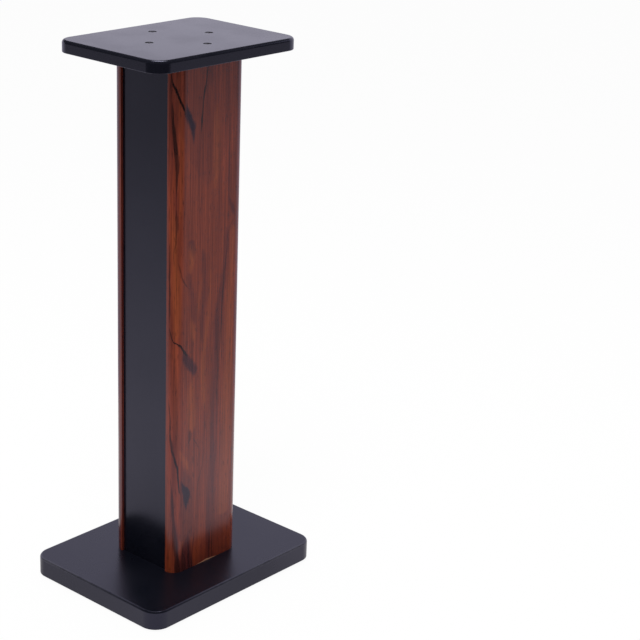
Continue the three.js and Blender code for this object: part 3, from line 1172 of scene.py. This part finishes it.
tall_card_height = 1.10
low_card_height = 0.84
cards = [
    (tall_card_height, [(-0.60, 0.24), (-0.60, 0.60), (0.45, 0.60)]),
    (low_card_height, [(-0.60, -0.35), (-0.60, 0.24)]),
]
card_tint = (0.93, 0.90, 1.07, 1.0)
card_shaded_height = 0.45
card_lit_height = 0.80
card_shaded_level = 0.66
card_lit_level = 0.85


def card_material():
    """White card that glows for gloss only, painted brighter higher up."""
    material, tree = stage_material("white card screen")
    place = add_node(tree, "NewGeometry").outputs["Position"]
    height = add_node(tree, "SeparateXYZ", {"Vector": place}).outputs["Z"]
    level = spread(
        tree, height, card_shaded_height, card_lit_height, card_shaded_level, card_lit_level
    )
    put_out(tree, "OutputMaterial", glow(tree, "Emission", card_tint, level))
    return material


card_work = bmesh.new()
for card_height, corners in cards:
    feet = [card_work.verts.new((x, y, 0.0)) for x, y in corners]
    foot_edges = [card_work.edges.new(ends) for ends in zip(feet, feet[1:])]
    card_top = extruded(card_work, foot_edges)
    bmesh.ops.translate(card_work, vec=(0.0, 0.0, card_height), verts=card_top)
card_screen = make_stage_object(card_work, "card_screen", card_material())
card_screen.visible_camera = False
card_screen.visible_diffuse = False
card_screen.visible_shadow = False

ambient_level = 0.55
dim_room_level = 0.05


def studio_world():
    """A white surround for the camera, soft light for the stand, and a dim room for its gloss."""
    world = bpy.data.worlds.new("studio")
    world.use_nodes = True
    tree = world.node_tree
    tree.nodes.clear()
    path = add_node(tree, "LightPath")
    ambient = glow(tree, "Background", white, ambient_level)
    seen_white = glow(tree, "Background", white, 1.0)
    dim_room = glow(tree, "Background", white, dim_room_level)
    for_gloss = mix_shaders(tree, seen_in_gloss(tree, path), ambient, dim_room)
    put_out(tree, "OutputWorld", mix_shaders(tree, path.outputs["Is Camera Ray"], for_gloss, seen_white))
    return world


scene.world = studio_world()

column_middle = Vector((0.0, 0.0, 0.35))


def soft_lamp(name, place, size, watts):
    """A round soft lamp turned to the middle of the column."""
    lamp_data = bpy.data.lights.new(name, "AREA")
    lamp_data.shape = "DISK"
    lamp_data.size = size
    lamp_data.energy = watts
    lamp = bpy.data.objects.new(name, lamp_data)
    lamp.location = place
    lamp.rotation_mode = "QUATERNION"
    lamp.rotation_quaternion = (column_middle - place).to_track_quat("-Z", "Y")
    scene.collection.objects.link(lamp)
    return lamp


front_lamp = soft_lamp("front lamp", place=Vector((0.75, -1.3, 3.4)), size=1.5, watts=72.0)
front_lamp.visible_glossy = False
soft_lamp("overhead lamp", place=Vector((-0.21, 0.24, 2.35)), size=1.1, watts=16.0)


# ---- Camera ----------------------------------------------------------------------------------
# At the photograph's viewing angle: from the front right and above, a little rolled, with the
# stand in the left half of the frame.

camera_azimuth = math.radians(40.6246)
camera_elevation = math.radians(20.0327)
camera_roll = math.radians(2.1460)
camera_lens = 99.548
camera_place = Vector((1.49559, -1.46808, 1.11399))

camera_right = Vector((math.cos(camera_azimuth), math.sin(camera_azimuth), 0.0))
camera_back = Vector(
    (
        math.sin(camera_azimuth) * math.cos(camera_elevation),
        -math.cos(camera_azimuth) * math.cos(camera_elevation),
        math.sin(camera_elevation),
    )
)
camera_up = camera_back.cross(camera_right)
rolled_right = math.cos(camera_roll) * camera_right + math.sin(camera_roll) * camera_up
rolled_up = math.cos(camera_roll) * camera_up - math.sin(camera_roll) * camera_right

camera_data = bpy.data.cameras.new("camera")
camera_data.sensor_fit = "HORIZONTAL"
camera_data.sensor_width = 36.0
camera_data.lens = camera_lens
camera_data.clip_start = 0.05
camera_data.clip_end = 50.0
camera = bpy.data.objects.new("camera", camera_data)
camera.matrix_world = Matrix.Translation(camera_place) @ Matrix(
    (rolled_right, rolled_up, camera_back)
).transposed().to_4x4()
scene.collection.objects.link(camera)
scene.camera = camera
scene.view_settings.view_transform = "Standard"


bpy.context.view_layer.update()
